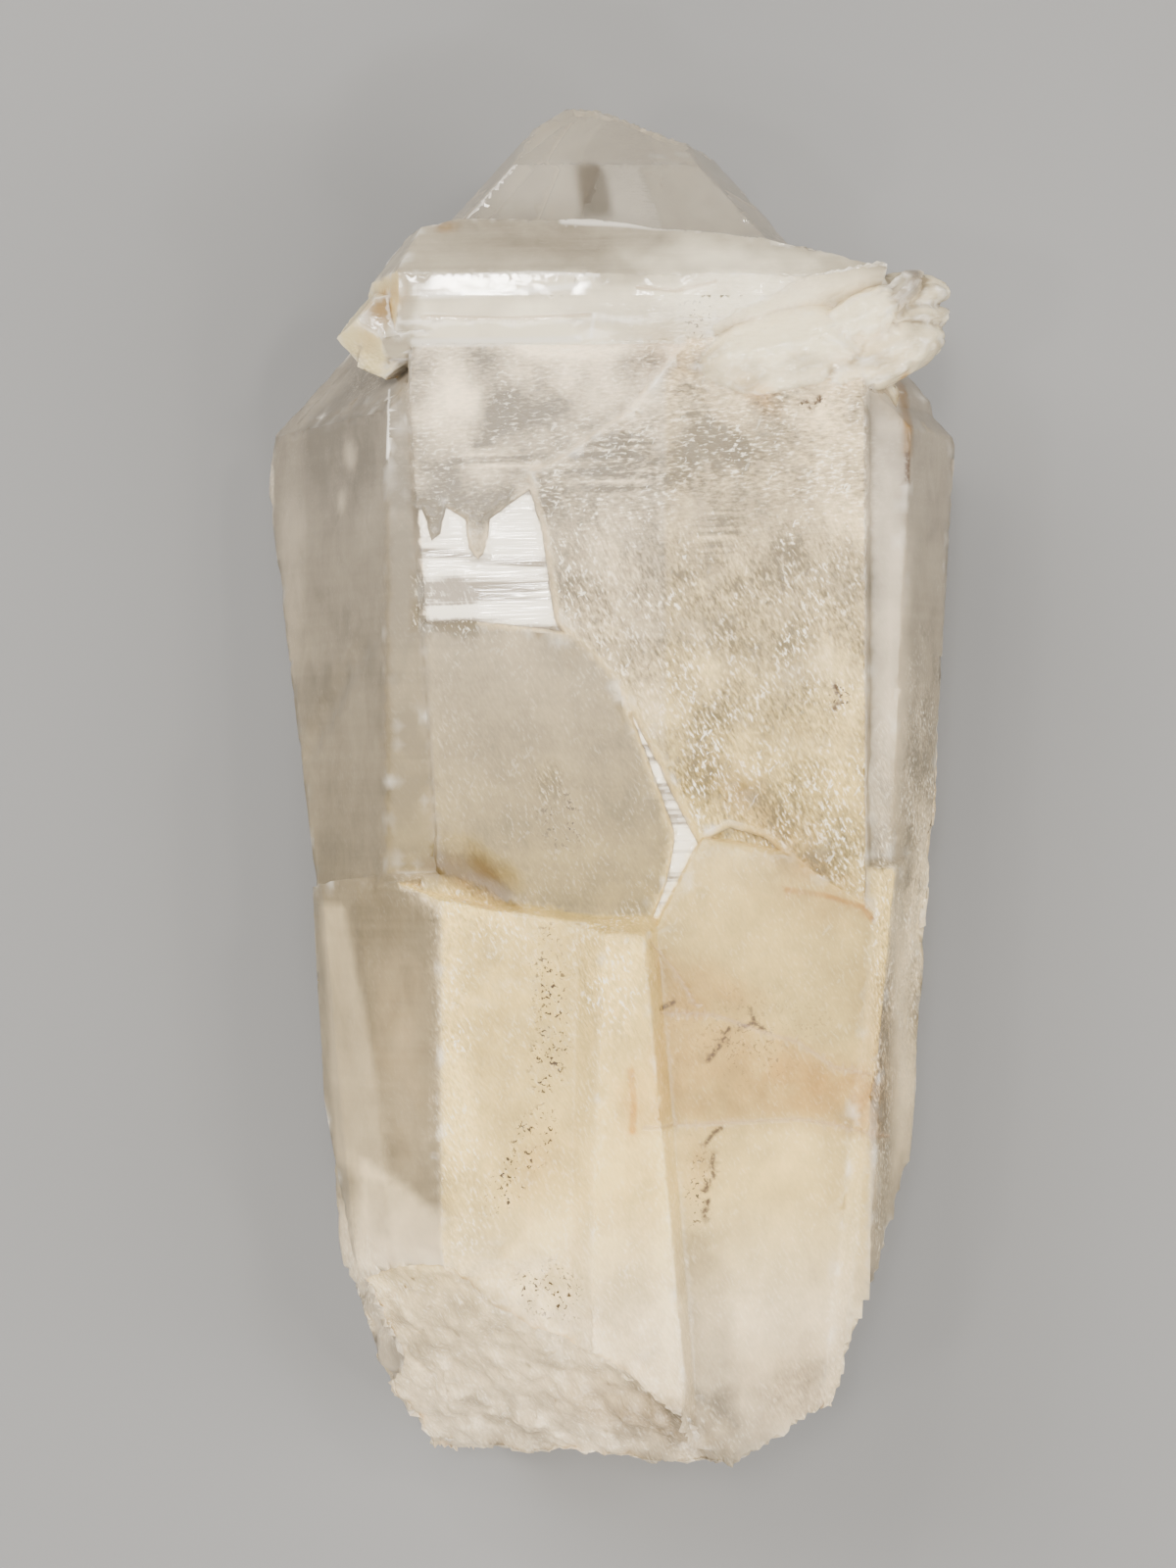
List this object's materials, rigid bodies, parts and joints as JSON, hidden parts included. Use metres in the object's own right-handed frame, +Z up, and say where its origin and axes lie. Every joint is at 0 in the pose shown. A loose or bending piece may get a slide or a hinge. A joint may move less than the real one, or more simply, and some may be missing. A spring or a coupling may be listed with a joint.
{
  "type": "raw quartz chunk",
  "caption": "Raw chunk of milky quartz lying on a prism face: parallel crystals with stepped flat faces, a clear tip, a crystal across the top and a broken foot.",
  "frame": {"origin": "middle of the chunk's bounding box, on the prism face that it rests on", "axes": "+Y along the c axis towards the clear tip, +Z up through the broad striated prism face, +X to the right seen from above with the tip up"},
  "size_m": [0.0943, 0.1882, 0.059],
  "materials": {
    "quartz": "glossy flat crystal faces over a milky, partly clear body, frosted growth layers, rusty iron stains and fine dark specks"
  },
  "bodies": {
    "root": {"quartz_chunk": "quartz"}
  },
  "joints": []
}
